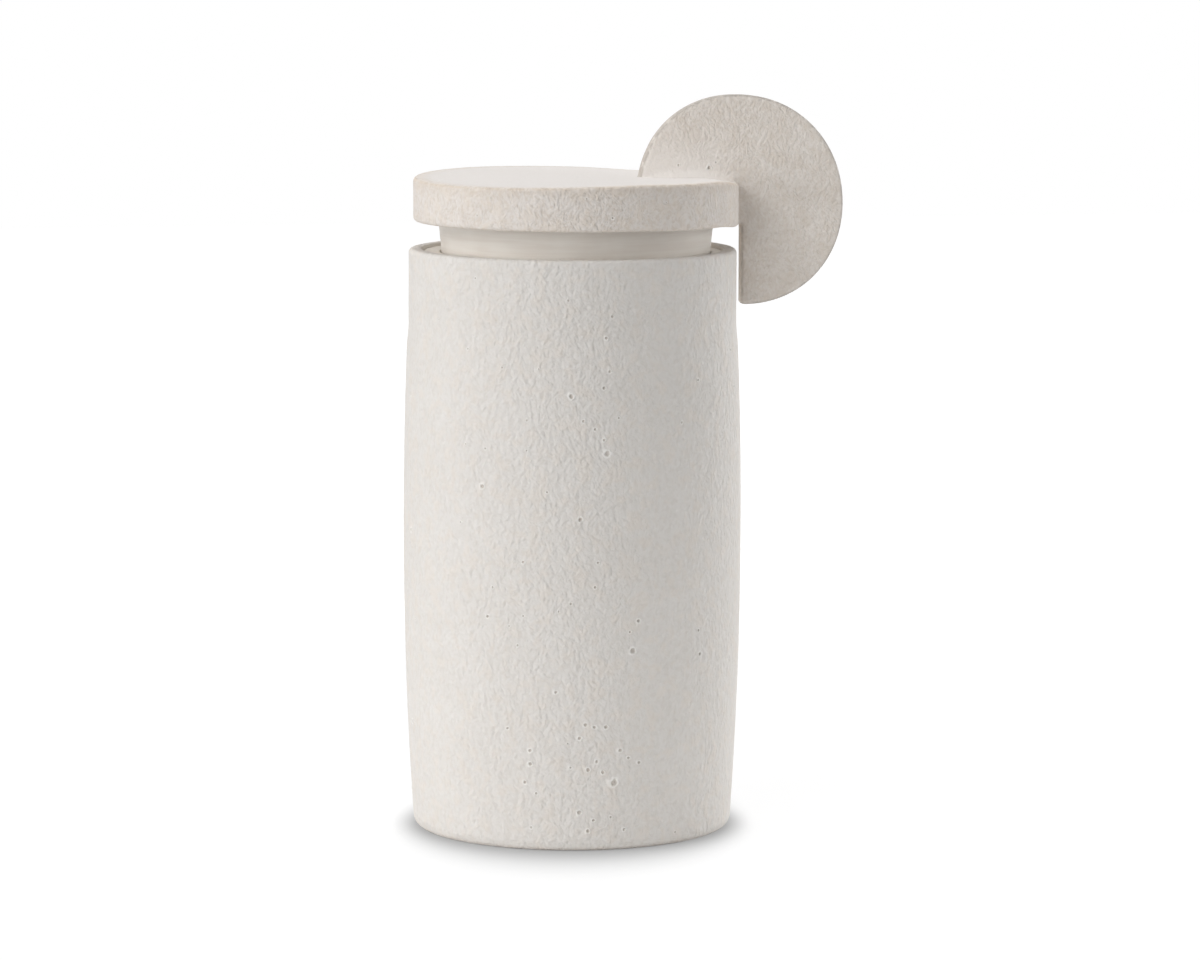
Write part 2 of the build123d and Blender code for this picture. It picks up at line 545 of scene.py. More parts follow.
def glaze_group():
    """Matte white glaze: pale winding dabs on a warmer ground, brown where an edge wears through."""
    colours = {socket: "Color" for socket in ("white", "warm", "smooth", "brown")}
    values = {socket: "Float" for socket in ("mottle", "fineness", "swirl", "thin", "whiter", "pit", "lip")}
    group, given = start_group("white glaze", vector="Vector", **colours, **values)
    place = steer("SCALE", given["vector"], given["fineness"])
    swirl = steer("SCALE", swing(place, swirl_size, 1.0), given["swirl"])
    swirl = steer("ADD", place, swirl)
    swirl = put(group, "ShaderNodeMapping", {"Vector": swirl, "Scale": dab_stretch}).outputs[0]
    dabs = grain(swirl, dab_size, 1.0)
    results = {"colour": glaze_colour(given, swirl),
               "roughness": soft_step(dabs, *dab_range, *dab_roughness),
               "relief": glaze_relief(given, place, dabs)}
    put(group, "NodeGroupOutput", results)
    return group


# The marks of the turning tool on bare clay: long round the piece, short up it
tool_mark_size = 1.6 * MM
tool_mark_stretch = (0.06, 0.06, 1.0)
tool_mark_range = (0.3, 0.7)
tool_mark_roughness = (0.45, 0.6)
tool_mark_depth = 0.06 * MM
tool_mark_share = 0.6
clay_cloud_size = 14 * MM
clay_cloud_share = 0.4
tan_range = (0.35, 0.65)


def clay_group():
    """Smooth satin cream clay, with the faint lines that the turning tool leaves."""
    group, given = start_group("bare clay", vector="Vector", cream="Color", tan="Color")
    flat = put(group, "ShaderNodeMapping", {"Vector": given["vector"], "Scale": tool_mark_stretch}).outputs[0]
    lines = grain(flat, tool_mark_size, 3.0)
    clouds = grain(given["vector"], clay_cloud_size)
    tan = plus(times(lines, tool_mark_share), times(clouds, clay_cloud_share))
    results = {"colour": tint(soft_step(tan, *tan_range), given["cream"], given["tan"]),
               "roughness": soft_step(lines, *tool_mark_range, *tool_mark_roughness),
               "relief": times(lines, tool_mark_depth)}
    put(group, "NodeGroupOutput", results)
    return group


def new_finish(name):
    """New material, its empty tree, and the place on the piece."""
    finish = bpy.data.materials.new(name)
    finish.use_nodes = True
    tree = finish.node_tree
    tree.nodes.clear()
    return finish, tree, put(tree, "ShaderNodeTexCoord").outputs["Object"]


def coat(tree, group, **values):
    """Results of a finish's group in a material, with these values."""
    return put(tree, "ShaderNodeGroup", values, node_tree=group).outputs


def end_finish(tree, colour, roughness, relief, shine):
    """Ends a material's tree with a plain surface of this colour, roughness, relief and shine."""
    normal = put(tree, "ShaderNodeBump", {"Height": relief, "Distance": 1.0}).outputs[0]
    surface = {"Base Color": colour, "Roughness": roughness, "Normal": normal, "Specular IOR Level": shine}
    surface = put(tree, "ShaderNodeBsdfPrincipled", surface).outputs[0]
    put(tree, "ShaderNodeOutputMaterial", {"Surface": surface})


def fired_finish(name, **glaze):
    """Finish of a fired piece: white glaze, and bare clay where the glaze was wiped off."""
    finish, tree, place = new_finish(name)
    marks = {}
    for mark in turned_marks + ("pit", "lip"):
        marks[mark] = put(tree, "ShaderNodeAttribute", attribute_name=mark).outputs["Fac"]
    bare = marks.pop("bare")
    over = coat(tree, glaze_coat, vector=place, **marks, **glaze)
    under = coat(tree, bare_clay, vector=place, cream=lightened_cream_clay, tan=lightened_tan_clay)
    colour = tint(bare, over["colour"], under["colour"])
    roughness = blend(bare, over["roughness"], under["roughness"])
    relief = blend(bare, over["relief"], under["relief"])
    end_finish(tree, colour, roughness, relief, glaze_shine)
    return finish


turning = turning_tree()
skin = skin_tree()
glaze_coat = glaze_group()
bare_clay = clay_group()

neck_inside = rim_radius - neck_wall
inside_top = swell_radius(shelf_level) - lower_wall
inside_foot = swell_radius(floor_top) - lower_wall
wall_outline = rise(outer_radius, floor_top, rim_level - lip_outer, row_height)
wall_outline += bend((rim_radius - lip_outer, rim_level - lip_outer), lip_outer, 0, 90, 5)
wall_outline += run((rim_radius - lip_outer, rim_level), (neck_inside + lip_inner, rim_level), lip_outer)
wall_outline += bend((neck_inside + lip_inner, rim_level - lip_inner), lip_inner, 90, 180, 7)
wall_outline += run((neck_inside, rim_level - lip_inner), (neck_inside, shelf_level), neck_row_height)
wall_outline += run((neck_inside, shelf_level), (inside_top, shelf_level), neck_row_height)
wall_outline += rise(lambda level: swell_radius(level) - lower_wall, shelf_level, floor_top, inner_row_height)
wall_outline += run((inside_foot, floor_top), (outer_radius(floor_top), floor_top), inner_row_height)
wall_outline += wall_outline[:1]

# How far past the lip the glaze begins to thin and is gone, and how far below the shelf it comes back
wipe_start = 0.3 * MM
wipe_end = 1.5 * MM
wipe_depth = 1 * MM


def wall_bare(radius, level):
    """Where the wall's glaze is wiped off: from the inner edge of the lip down to the shelf."""
    past_lip = neck_inside + lip_inner - radius
    return fade(past_lip, wipe_start, wipe_end) * (level > shelf_level - wipe_depth)


white_glaze = (0.795, 0.767, 0.735, 1)
warm_glaze = (0.7, 0.66, 0.612, 1)
brown_edge = (0.7, 0.61, 0.52, 1)
# Bare clay: partly the clay's own cream and tan, partly painted light, made lighter to lift the shade in the
# groove inside the neck
lightened_cream_clay = (0.905, 0.865, 0.8, 1)
lightened_tan_clay = (0.87, 0.82, 0.745, 1)
glaze_shine = 0.3
vessel_finish = fired_finish("vessel glaze", white=white_glaze, warm=warm_glaze, smooth=white_glaze,
                             brown=brown_edge, mottle=0.6, fineness=1.0, swirl=5 * MM)
vessel_wall = turn_piece("vessel_wall_glazed", wall_outline, vessel_finish, bare=wall_bare)

# Pits on the front, as degrees right of the front, millimetres above the foot, and width of the mouth
front_pits = [
    (14, 198, 0.9), (12, 190, 1.2), (13, 178, 1.0), (11, 172, 1.1), (0, 169, 1.6), (4, 160, 0.9),
    (8, 157, 0.9), (16, 161, 0.9), (11, 153, 1.0), (12, 148, 2.0), (-31, 135, 1.6), (-11, 179, 0.7),
    (-24, 179, 0.8), (-38, 185, 0.7), (-30, 149, 0.8), (-38, 150, 0.7), (-15, 149, 0.8),
    (-15, 160, 0.7), (-8, 134, 0.8), (3, 124, 1.5), (-40, 121, 0.7), (48, 173, 1.0), (71, 182, 1.0),
    (74, 168, 0.9), (40, 158, 0.9), (-35, 211, 0.7), (-1, 204, 0.8), (-16, 108, 1.0), (9, 108, 0.9),
    (8, 99, 1.0), (-27, 98, 0.8), (0, 93, 0.9), (-4, 90, 0.8), (-29, 87, 1.1), (-21, 84, 0.8),
    (-16, 88, 0.8), (-18, 77, 0.9), (23, 86, 1.4), (20, 82, 1.0), (21, 75, 1.9), (48, 80, 1.0),
    (49, 71, 1.3), (-5, 60, 1.1), (-22, 46, 0.9), (5, 48, 1.2), (8, 47, 1.2), (12, 47, 1.2),
    (3, 43, 1.3), (-1, 41, 0.7), (-14, 38, 1.2), (-14, 33, 1.4), (17, 38, 1.3), (20, 35, 1.2),
    (24, 33, 1.2), (0, 32, 0.8), (6, 31, 1.3), (9, 34, 1.2), (11, 30, 1.2), (-16, 26, 1.3),
    (15, 26, 2.3), (-12, 22, 0.9), (3, 15, 1.6), (8, 12, 1.1), (14, 13, 0.9), (6, 8, 1.3), (19, 8, 1.1),
    (-14, 9, 0.9)]

# Pits out of sight, on the sides and the back: the degrees, levels and widths that they are drawn from
hidden_turns = (80, 310)
hidden_levels = (10, 205)
hidden_draws = 60
narrow_pit = 0.6
pit_spread = 1.1
pit_clearance = 3 * MM
dice = random.Random(12)


def draw_wall_pit():
    """Pit at a random place on the sides or the back. Most of them are narrow."""
    width = narrow_pit + pit_spread * dice.random() ** 3
    return wall_pit(dice.uniform(*hidden_turns), dice.uniform(*hidden_levels), width)


vessel_wave = 0.35 * MM
vessel_ripple = 0.12 * MM
wall_pits = scattered([wall_pit(*pit) for pit in front_pits], hidden_draws, draw_wall_pit, pit_clearance)
glaze_piece(vessel_wall, wall_pits, vessel_wave, vessel_ripple, vessel_finish)
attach(vessel_wall, "vessel")
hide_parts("vessel_wall")


# The vessel's floor. A flat disc of the same clay, which the wall was joined to with slip.
# Its edge is rounded by hand, and the glaze is wiped off underneath, where the jar stands in the kiln.

foot_edge = 3.8 * MM
foot_row_height = 2 * MM
edge_centre = (swell_radius(foot_edge) - foot_edge, foot_edge)
floor_side = floor_top - 3 * row_height
floor_outline = run((0, 0), (edge_centre[0], 0), foot_row_height)
floor_outline += bend(edge_centre, foot_edge, -90, 0, 8)
floor_outline += rise(swell_radius, floor_side, floor_top, row_height)
floor_outline += run((swell_radius(floor_top), floor_top), (0, floor_top), foot_row_height)
floor_outline += [Vector((0, floor_top))]

# The glaze is wiped off up to the first level, and thickens from the second to the third
wiped_level = 0.4 * MM
thin_level = 0.3 * MM
full_level = 2.5 * MM
foot_thinness = 0.3


def floor_bare(radius, level):
    """Where the floor's glaze is wiped off: the flat underside."""
    return 1 - fade(level, 0, wiped_level)


def floor_thin(radius, level):
    """Where the floor's glaze is thin: just above the wiped underside."""
    return foot_thinness * (1 - fade(level, thin_level, full_level))


# Pits in the foot's edge: degrees right of the front, and their one level and width in millimetres
foot_pit_turns = (40, 130, 205, 260)
foot_pit_level = 5
foot_pit_width = 0.8
floor_pits = [wall_pit(turn, foot_pit_level, foot_pit_width) for turn in foot_pit_turns]
vessel_floor = turn_piece("vessel_floor_glazed", floor_outline, vessel_finish,
                          thin=floor_thin, bare=floor_bare)
glaze_piece(vessel_floor, floor_pits, vessel_wave, vessel_ripple, vessel_finish)
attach(vessel_floor, "vessel")
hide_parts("vessel_floor")


# The seat ring. A flat ring of clay laid on the shelf inside the neck, where the lid's plug rests.
# It is turned smooth and left bare, so that the lid doesn't stick to it in the firing.

seat_low, seat_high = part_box("seat_ring")
seat_bore = 43 * MM
seat_edge = 0.8 * MM
seat_row_height = 1.5 * MM
clay_shine = 0.4


def ring_outline(inner, outer, low, high, edge, spacing):
    """Outline of a flat ring with rounded edges."""
    corners = [(outer - edge, low + edge, -90), (outer - edge, high - edge, 0),
               (inner + edge, high - edge, 90), (inner + edge, low + edge, 180)]
    outline = []
    for x, z, angle in corners:
        arc = bend((x, z), edge, angle, angle + 90, 4)
        if outline:
            outline += run(outline[-1], arc[0], spacing)[1:]
        outline += arc
    outline += run(outline[-1], outline[0], spacing)[1:]
    return outline + outline[:1]


def clay_finish(name, cream, tan):
    """Finish of a bare piece."""
    finish, tree, place = new_finish(name)
    clay = coat(tree, bare_clay, vector=place, cream=cream, tan=tan)
    end_finish(tree, clay["colour"], clay["roughness"], clay["relief"], clay_shine)
    return finish


seat_finish = clay_finish("seat clay", lightened_cream_clay, lightened_tan_clay)
seat_outline = ring_outline(seat_bore, seat_high.x, seat_low.z, seat_high.z, seat_edge, seat_row_height)
seat_ring = turn_piece("seat_ring_turned", seat_outline, seat_finish)
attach(seat_ring, "vessel")
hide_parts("seat_ring")


# The neck collar. A ring of the same bare clay, luted to the seat, with a tapered bore cut off centre.
# It centres the lid's plug, and leaves only a shallow groove between the plug and the lip.

collar_low, collar_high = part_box("neck_collar")
plug_low, plug_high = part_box("lid_plug")
lid_shift = (plug_low.x + plug_high.x) / 2
plug_top_radius = (plug_high.x - plug_low.x) / 2
plug_foot_radius = plug_top_radius - 3 * MM
plug_clearance = 0.45 * MM
collar_edge = 0.6 * MM
collar_rise = 1.8 * MM


def plug_radius(level):
    """Outer radius of the plug at a level."""
    climb = (level - plug_low.z) / (plug_high.z - plug_low.z)
    return plug_foot_radius + (plug_top_radius - plug_foot_radius) * climb


def move_bore(piece):
    """Moves a ring's bore to the plug's axis, and leaves its outer side where it is."""
    bore = plug_top_radius + plug_clearance
    for vertex in piece.data.vertices:
        radius = math.hypot(vertex.co.x, vertex.co.y)
        vertex.co.x += lid_shift * (1 - fade(radius, bore, collar_side - collar_edge))


collar_side = collar_high.x
collar_top = collar_high.z + collar_rise
edge_level = collar_top - collar_edge
collar_foot = plug_radius(collar_low.z) + plug_clearance
collar_mouth = plug_radius(collar_top) + plug_clearance + collar_edge
collar_outline = run((collar_foot, collar_low.z), (collar_side, collar_low.z), neck_row_height)
collar_outline += run((collar_side, collar_low.z), (collar_side, edge_level), neck_row_height)
collar_outline += bend((collar_side - collar_edge, edge_level), collar_edge, 0, 90, 4)
collar_outline += run((collar_side - collar_edge, collar_top), (collar_mouth, collar_top), collar_edge)
collar_outline += bend((collar_mouth, edge_level), collar_edge, 90, 180, 4)
collar_outline += run((collar_mouth - collar_edge, edge_level), (collar_foot, collar_low.z), neck_row_height)
collar_outline += collar_outline[:1]
collar_outline.reverse()
neck_collar = turn_piece("neck_collar_turned", collar_outline, seat_finish)
move_bore(neck_collar)
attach(neck_collar, "vessel")
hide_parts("neck_collar")


# The lid's slab. A thick round slab of the same stoneware, a little warped by the drying.
# It is glazed white, and the glaze breaks to a warm brown line along its upper edge.

slab_low, slab_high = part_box("lid_slab")
slab_radius = (slab_high.x - slab_low.x) / 2
slab_edge = 1.5 * MM
crown_level = slab_high.z - 8 * MM
plug_wall = 5.5 * MM
hollow_radius = plug_top_radius - plug_wall
slab_rows = 1.2 * MM
side_radius = slab_radius - slab_edge
slab_outline = run((0, slab_high.z), (side_radius, slab_high.z), slab_rows)
slab_outline += bend((side_radius, slab_high.z - slab_edge), slab_edge, 90, 0, 6)
slab_outline += run((slab_radius, slab_high.z - slab_edge), (slab_radius, slab_low.z + slab_edge), slab_rows)
slab_outline += bend((side_radius, slab_low.z + slab_edge), slab_edge, 0, -90, 6)
slab_outline += run((side_radius, slab_low.z), (hollow_radius, slab_low.z), 2 * slab_rows)
slab_outline += run((hollow_radius, slab_low.z), (hollow_radius, crown_level), 2 * slab_rows)
slab_outline += run((hollow_radius, crown_level), (0, crown_level), 4 * slab_rows)
slab_outline += [Vector((0, crown_level))]

# Where the slab's glaze is thin: along its upper edge, in a band under that, and along its lower edge
upper_line = (0.4 * MM, 1.6 * MM)
side_band = (0.8 * MM, 5.0 * MM)
side_band_depth = 0.5 * MM
side_band_thinness = 0.45
lower_line = (0.3 * MM, 1.6 * MM)
lower_line_thinness = 0.3


def slab_thin(radius, level):
    """Where the slab's glaze is thin: the upper edge, and less so the side below it and the lower edge."""
    down = slab_high.z - level
    upper = 1 - fade(max(slab_radius - radius, down), *upper_line)
    band = side_band_thinness * (1 - fade(down, *side_band)) * (radius > slab_radius - side_band_depth)
    lower = lower_line_thinness * (1 - fade(level - slab_low.z, *lower_line)) * (radius > side_radius)
    return max(upper, band, lower)


# The top's white coat, from the slab's edge inwards
coat_margin = 1 * MM
top_coat = (1.5 * MM, 8 * MM)
# This strength also sets the disc's painted bounce light
top_whiteness = 0.65


def slab_bare(radius, level):
    """Where the slab is bare: inside the plug."""
    return level < slab_high.z - coat_margin and radius < hollow_radius + coat_margin


def slab_whiter(radius, level):
    """Where the slab's glaze is smooth and white: its top, where it was laid on thickest."""
    return top_whiteness * fade(slab_radius - radius, *top_coat) * (level > slab_high.z - coat_margin)


# The lid's warp: a twist, a sagging edge, and a sag towards the handle, which end a little off the slab
lid_twist = 0.75 * MM
twist_turn = math.radians(12)
edge_sag = 0.5 * MM
edge_sag_reach = (0.9, 1.0)
lid_sag = 0.5 * MM
lid_sag_reach = (10 * MM, 35 * MM)
handle_sag = 1.5 * MM
handle_sag_reach = (slab_radius - 15 * MM, slab_radius - 1 * MM)
still_above = slab_high.z + 15 * MM
still_beyond = slab_high.x + 6 * MM
still_below = (slab_low.z - 8 * MM, slab_low.z - 1 * MM)


def sag(x):
    """How far the slab hangs down towards the handle, most of all in the last stretch before it."""
    along = x - lid_shift
    return lid_sag * fade(along, *lid_sag_reach) + handle_sag * fade(along, *handle_sag_reach)


def warp_lid(piece):
    """Twists the slab's top like a saddle and lets its edge sag, as a slab that dried unevenly."""
    for vertex in piece.data.vertices:
        x, y, z = vertex.co
        radius = min(math.hypot(x - lid_shift, y) / slab_radius, 1)
        turn = math.atan2(y, x - lid_shift) + twist_turn
        height = min(max((z - slab_low.z) / (slab_high.z - slab_low.z), 0), 1)
        off_slab = max(fade(z, slab_high.z, still_above), fade(x, slab_high.x, still_beyond))
        on_slab = (1 - off_slab) * fade(z, *still_below)
        drop = lid_twist * math.sin(2 * turn) * radius * radius * height + sag(x) * on_slab
        vertex.co.z = z - drop - edge_sag * fade(radius, *edge_sag_reach) * (1 - height) * on_slab


lid_white = (0.834, 0.786, 0.746, 1)
lid_warm = (0.69, 0.614, 0.538, 1)
lid_smooth = (0.812, 0.782, 0.76, 1)
lid_finish = fired_finish("lid glaze", white=lid_white, warm=lid_warm, smooth=lid_smooth, brown=brown_edge,
                          mottle=0.9, fineness=1.35, swirl=9 * MM)
lid_slab = turn_piece("lid_slab_glazed", slab_outline, lid_finish, off_centre=lid_shift,
                      thin=slab_thin, bare=slab_bare, whiter=slab_whiter)
warp_lid(lid_slab)


def side_pit(turn, drop, width):
    """Pit in the slab's side, at degrees right of the front and millimetres below the top."""
    return round_pit(turn, width, slab_radius, slab_high.z - drop * MM, lid_shift)


slab_wave = 0.2 * MM
slab_ripple = 0.1 * MM
slab_pits = [(4, 4, 0.7), (13, 11, 0.9), (-36, 11, 0.7), (33, 6, 0.6),
             (118, 7, 1.0), (160, 10, 0.8), (214, 5, 0.9), (251, 9, 0.7)]
slab_pits = [side_pit(*pit) for pit in slab_pits]
glaze_piece(lid_slab, slab_pits, slab_wave, slab_ripple, lid_finish)
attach(lid_slab, "lid")
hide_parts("lid_slab")


# The lid's plug. A hollow ring under the slab, drawn in towards its foot, which sits in the neck.
# It is turned smooth and left bare, in a satin cream with faint lines round it.

plug_edge = 1.2 * MM
plug_rows = 0.7 * MM
plug_foot_inside = plug_foot_radius - plug_wall
plug_foot_level = plug_low.z + plug_edge
plug_outline = run((plug_top_radius, plug_high.z), (plug_foot_radius, plug_foot_level), plug_rows)
plug_outline += bend((plug_foot_radius - plug_edge, plug_foot_level), plug_edge, 0, -90, 5)
plug_outline += run((plug_foot_radius - plug_edge, plug_low.z), (plug_foot_inside + plug_edge, plug_low.z),
                    plug_rows)
plug_outline += bend((plug_foot_inside + plug_edge, plug_foot_level), plug_edge, -90, -180, 5)
plug_outline += run((plug_foot_inside, plug_foot_level), (hollow_radius, plug_high.z), 2 * plug_rows)
plug_outline += run((hollow_radius, plug_high.z), (plug_top_radius, plug_high.z), 2 * plug_rows)
plug_outline += plug_outline[:1]
plug_cream = (0.82, 0.787, 0.737, 1)
plug_tan = (0.77, 0.722, 0.668, 1)
plug_finish = clay_finish("plug clay", plug_cream, plug_tan)
lid_plug = turn_piece("lid_plug_turned", plug_outline, plug_finish, off_centre=lid_shift)
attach(lid_plug, "lid")
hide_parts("lid_plug")


# The handle. A thin upright disc of glazed clay, cut away inside and below the slab's edge.
# It stands on the slab, joined to it with a soft line of slip, and its lower part hangs outside the vessel.

disc_low, disc_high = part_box("handle_disc")
disc_radius = 39.2 * MM
disc_level = disc_high.z - disc_radius
disc_centre = disc_high.x - disc_radius
disc_half = (disc_high.y - disc_low.y) / 2
disc_wider = 1.5 * MM
wider_ease = 0.25
cut_x = disc_centre + 0.1 * MM
disc_edge = 1.2 * MM
cut_corner = 1.5 * MM
slot_edge = 1.5 * MM

# The slip that joins the disc to the slab: a fine seam, and a cove on top that runs out at the disc's rim
slip_seam = 0.6 * MM
slip_cove = 3.2 * MM
cove_run = 12 * MM
sunk = 0.6 * MM

# Where the disc's glaze is thin, along its long edges and its rim; on the rim the darkening is partly thin
# glaze and partly painted shade
thin_edge = (0.3 * MM, 1.1 * MM)
edge_thinness = 0.7
thin_and_shaded_rim = (-0.8 * MM, -0.2 * MM)
rim_thinness_and_shade = 1.5
# Painted bounce light from the slab's top: how high the disc is whiter over the slab, and where it fades out
# towards the slab's end
bounce_light_height = 22 * MM
bounce_light_end = (lid_shift + slab_radius - 12 * MM, lid_shift + slab_radius + 2 * MM)

# Fineness of the disc's mesh, the room round it, and how its density falls across its surface
disc_grain = 0.45 * MM
disc_room = 3 * MM
density_reach = 20 * MM
surface_density = 0.5


def reach(*sides):
    """Length of a vector with these sides."""
    return steer("LENGTH", join("ShaderNodeCombineXYZ", dict(enumerate(sides))).outputs[0])


def rounded_meet(first, second, radius):
    """Distance to where two solids meet, with the outer corner between them rounded."""
    first = plus(first, radius)
    second = plus(second, radius)
    outside = reach(reckon("MAXIMUM", first, 0.0), reckon("MAXIMUM", second, 0.0))
    inside = reckon("MINIMUM", reckon("MAXIMUM", first, second), 0.0)
    return minus(plus(outside, inside), radius)


def flip(value):
    """The same value with the other sign."""
    return times(value, -1.0)


def disc_rim(given, x, z):
    """Distance from the round rim. It was cut by hand, wider from its upper left to its lower right."""
    side = minus(x, given["centre"])
    climb = minus(z, given["level"])
    slant = times(side, climb, -2 / disc_radius ** 2)
    eased = reckon("SQRT", plus(times(slant, slant), wider_ease))
    wider = times(plus(slant, eased), disc_wider / 2)
    return minus(reach(side, climb), plus(given["radius"], wider))


def disc_cut(given, x, z):
    """Distance into what is cut away: below the slab inside the neck's line, and inside the slab's side."""
    slab_end = lid_shift + slab_radius - slot_edge
    slab_top = slab_high.z - slot_edge
    below = rounded_meet(minus(x, given["cut"]), minus(z, slab_low.z), slot_edge)
    within = rounded_meet(minus(x, slab_end), minus(z, slab_top), slot_edge)
    return flip(reckon("MINIMUM", below, within))


def slab_rule(x, y, z):
    """Distance from the slab that the disc stands on."""
    out = minus(reach(minus(x, lid_shift), y), slab_radius)
    slab = rounded_meet(out, minus(z, slab_high.z), slab_edge)
    return rounded_meet(slab, minus(slab_low.z, z), slab_edge)


def joined_disc(given, disc, slab, rim, z):
    """Distance from the disc with the slip that joins it to the slab, but without the slab."""
    over = soft_step(z, slab_high.z - slab_edge, slab_high.z + slab_edge)
    over = times(over, soft_fall(rim, -cove_run, 0.0))
    slip = plus(given["slip"], times(over, given["cove"]))
    joined = flip(rounded_meet(flip(disc), flip(slab), slip))
    outside_slab = flip(plus(slab, sunk))
    return reckon("MAXIMUM", joined, outside_slab, minus(disc, slip))


def disc_mesh(tree, body):
    """Mesh of the surface where a distance is nothing."""
    density = minus(surface_density, reckon("DIVIDE", body, density_reach))
    low = [side - disc_room for side in (disc_centre - disc_radius, disc_low.y, disc_low.z)]
    high = [side + disc_room for side in disc_high]
    counts = [round((end - start) / disc_grain) for start, end in zip(low, high)]
    sockets = {"Density": density, "Background": 0.0, "Min": low, "Max": high,
               "Resolution X": counts[0], "Resolution Y": counts[1], "Resolution Z": counts[2]}
    volume = put(tree, "GeometryNodeVolumeCube", sockets).outputs[0]
    return put(tree, "GeometryNodeVolumeToMesh", {"Volume": volume, "Threshold": surface_density}).outputs[0]


def disc_thin(rim, cut, face):
    """Where the disc's glaze is thin: its long edges, and its whole rim, which is darkened further as painted
    shade.
    """
    near_edge = reckon("MAXIMUM", flip(reckon("MAXIMUM", rim, cut)), flip(face))
    edges = soft_step(near_edge, *thin_edge, edge_thinness, 0.0)
    return reckon("MAXIMUM", edges, soft_step(rim, *thin_and_shaded_rim, 0.0, rim_thinness_and_shade))


def disc_bounce_light(x, z):
    """Painted bounce light: the disc's glaze is whiter and smoother low over the slab, where light from the
    slab's white top falls on it.
    """
    low = soft_step(z, slab_high.z, slab_high.z + bounce_light_height, top_whiteness, 0.0)
    return times(low, soft_fall(x, *bounce_light_end))


def disc_tree():
    """Tree that makes the disc from its rule: how far each point in space lies from its surface."""
    names = ("radius", "half", "centre", "level", "cut", "edge", "corner", "slip", "cove")
    sizes = {name: "Float" for name in names}
    tree, given = start_tree("handle disc", finish="Material", **sizes)
    place = put(tree, "GeometryNodeInputPosition").outputs[0]
    x, y, z = put(tree, "ShaderNodeSeparateXYZ", {0: place}).outputs
    rim = disc_rim(given, x, z)
    cut = disc_cut(given, x, z)
    face = minus(reckon("ABSOLUTE", y), given["half"])
    disc = rounded_meet(rim, cut, given["corner"])
    disc = rounded_meet(disc, face, given["edge"])
    mesh = disc_mesh(tree, joined_disc(given, disc, slab_rule(x, y, z), rim, z))
    mesh = leave_mark(mesh, "thin", disc_thin(rim, cut, face))
    # On the disc the whiter mark is painted bounce light from the slab
    mesh = leave_mark(mesh, "whiter", disc_bounce_light(x, z))
    return end_tree(tree, mesh, given["finish"])


disc_white = (0.952, 0.893, 0.835, 1)
disc_warm = (0.836, 0.757, 0.677, 1)
# The whiter colour of the painted bounce light over the slab
disc_bounce_white = (0.97, 0.93, 0.89, 1)
# The brown of the disc's thin edges, which also paints shade on its rim
disc_brown_and_rim_shade = (0.53, 0.485, 0.44, 1)
disc_finish = fired_finish("disc glaze", white=disc_white, warm=disc_warm, smooth=disc_bounce_white,
                           brown=disc_brown_and_rim_shade, mottle=0.95, fineness=1.5, swirl=9 * MM)
handle_disc = lay_out("handle_disc_glazed", [(0, 0, 0)], [], {})
work(handle_disc, disc_tree(), radius=disc_radius, half=disc_half, centre=disc_centre, level=disc_level,
     cut=cut_x, edge=disc_edge, corner=cut_corner, slip=slip_seam, cove=slip_cove, finish=disc_finish)
warp_lid(handle_disc)


def disc_pit(x, z, width, way):
    """Pit in the disc's front, where way is -1, or its back, in millimetres from its centre."""
    place = Vector((disc_centre + x * MM, way * disc_half, disc_level + z * MM))
    return place, Vector((0, way, 0)), width * MM / 2


disc_wave = 0.3 * MM
disc_ripple = 0.1 * MM
disc_front_pits = ((-24.3, 13.2, 0.9), (-12.5, 12.0, 1.4), (-17.3, 8.6, 0.8), (-9.8, 14.1, 0.6))
disc_back_pits = ((-8, 20, 0.9), (14, 9, 1.2), (22, -14, 0.8))
disc_pits = [disc_pit(*pit, -1) for pit in disc_front_pits]
disc_pits += [disc_pit(*pit, 1) for pit in disc_back_pits]
glaze_piece(handle_disc, disc_pits, disc_wave, disc_ripple, disc_finish)
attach(handle_disc, "lid")
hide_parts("handle_disc")


# The studio. A pale table, and soft light from round softboxes on all sides and above.
# The table looks white but for a soft shadow round the jar's foot, longest towards the front.

table_reach = 3.0
table_mesh = bpy.data.meshes.new("table")
corners = [(x * table_reach, y * table_reach, 0) for x, y in ((-1, -1), (1, -1), (1, 1), (-1, 1))]
table_mesh.from_pydata(corners, [], [(0, 1, 2, 3)])
table = bpy.data.objects.new("table", table_mesh)
bpy.context.collection.objects.link(table)

# The soft shadow is an oval from the foot out, by half its width across the front and half its length
foot_shade = foot_radius - 2.5 * MM
shade_across = foot_radius + 10.5 * MM
shade_along = foot_radius + 66 * MM
foot_glow = 0.32
edge_glow = 0.85
white_reach = (0.2, 0.5)
tiny = 0.001

# A white card under the jar throws light up at it, and the bare table round it throws less
card_reach = (0.25, 0.7)
card_white = 0.95
table_grey = 0.35
contact_grey = (0.2, 0.2, 0.2, 1)


def seen_straight(tree):
    """1 where the camera sees a surface, mirrored or not, and 0 where it only lights others."""
    path = put(tree, "ShaderNodeLightPath").outputs
    seen = reckon("MAXIMUM", path["Is Camera Ray"], path["Is Glossy Ray"])
    return reckon("MAXIMUM", seen, path["Is Transmission Ray"])


def soft_shadow(place):
    """Share of the way from the foot, at 0, to the edge of the soft shadow, at 1."""
    turn = (0, 0, math.radians(front_turn - 90))
    oval = {"Vector": place, "Rotation": turn, "Scale": (shade_across, shade_along, 1)}
    oval = join("ShaderNodeMapping", oval, vector_type="TEXTURE").outputs[0]
    oval = steer("LENGTH", steer("MULTIPLY", oval, (1, 1, 0)))
    past_foot = reckon("DIVIDE", steer("LENGTH", place), foot_shade)
    past_foot = reckon("MAXIMUM", minus(past_foot, 1.0), 0.0)
    to_edge = reckon("MAXIMUM", minus(1.0, oval), 0.0)
    return reckon("DIVIDE", past_foot, plus(past_foot, to_edge, tiny))


